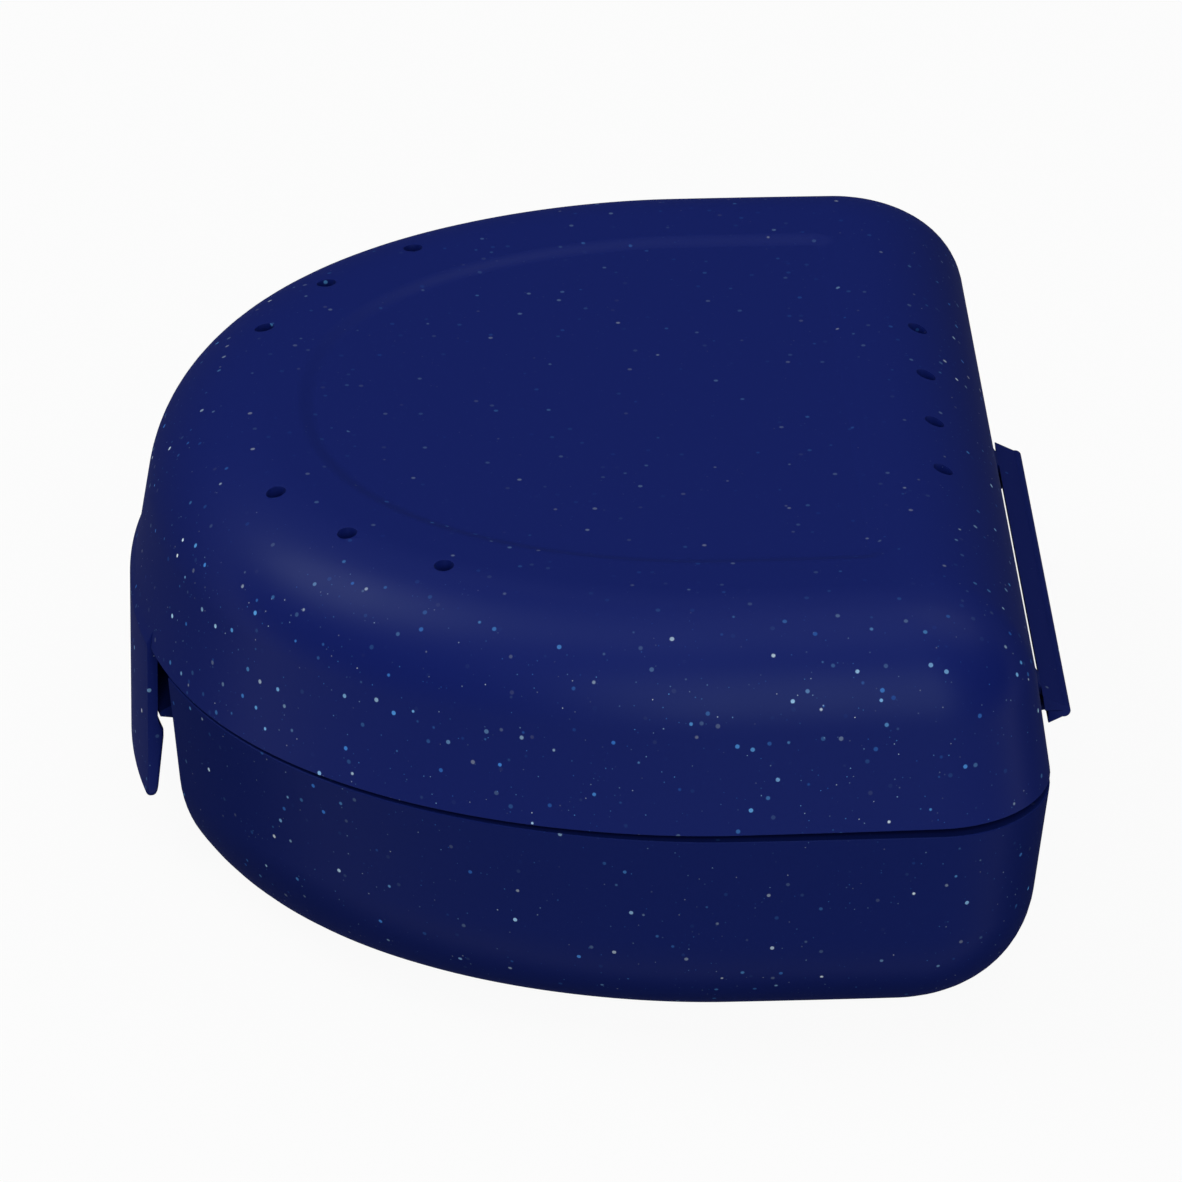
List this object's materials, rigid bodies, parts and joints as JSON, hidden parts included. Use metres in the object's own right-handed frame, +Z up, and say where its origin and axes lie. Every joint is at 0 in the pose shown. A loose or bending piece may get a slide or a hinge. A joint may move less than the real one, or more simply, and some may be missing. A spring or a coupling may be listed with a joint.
{
  "type": "retainer case",
  "caption": "D-shaped plastic case: a domed, vented lid on a strap hinge over an open tray, closed by a snap tongue at the middle of its round front.",
  "frame": {"origin": "middle of the base's flat underside", "axes": "+X across the case, -Y to the round front with its clasp, +Y to the straight back with its hinge, +Z up"},
  "size_m": [0.0844, 0.0709, 0.0337],
  "materials": {
    "shell": "satin navy polypropylene with fine silver and blue glitter moulded in",
    "hinge": "the same navy polypropylene, thin, with fewer glitter flakes"
  },
  "bodies": {
    "base": {"base_tray": "shell", "hinge_leaf_lower": "hinge"},
    "web": {"hinge_web": "hinge"},
    "lid": {"lid_shell": "shell", "hinge_leaf_upper": "hinge"},
    "clasp": {"clasp_tongue": "shell"}
  },
  "joints": [
    {"name": "lid_hinge", "type": "hinge", "parent": "base", "child": "lid", "pos_m": [0, 0.03645, 0.01691], "axis": [-1, 0, 0], "range_deg": [0, 180]},
    {"name": "web_bend", "type": "hinge", "parent": "base", "child": "web", "pos_m": [0, 0.03645, 0.01691], "axis": [-1, 0, 0], "range_deg": [0, 90]},
    {"name": "tongue_flex", "type": "hinge", "parent": "lid", "child": "clasp", "pos_m": [0, -0.03385, 0.0179], "axis": [-1, 0, 0], "range_deg": [0, 10], "stiffness_Nm_per_rad": 0.2}
  ],
  "couplings": [
    {"joint": "web_bend", "follows": "lid_hinge", "ratio": 0.5}
  ]
}
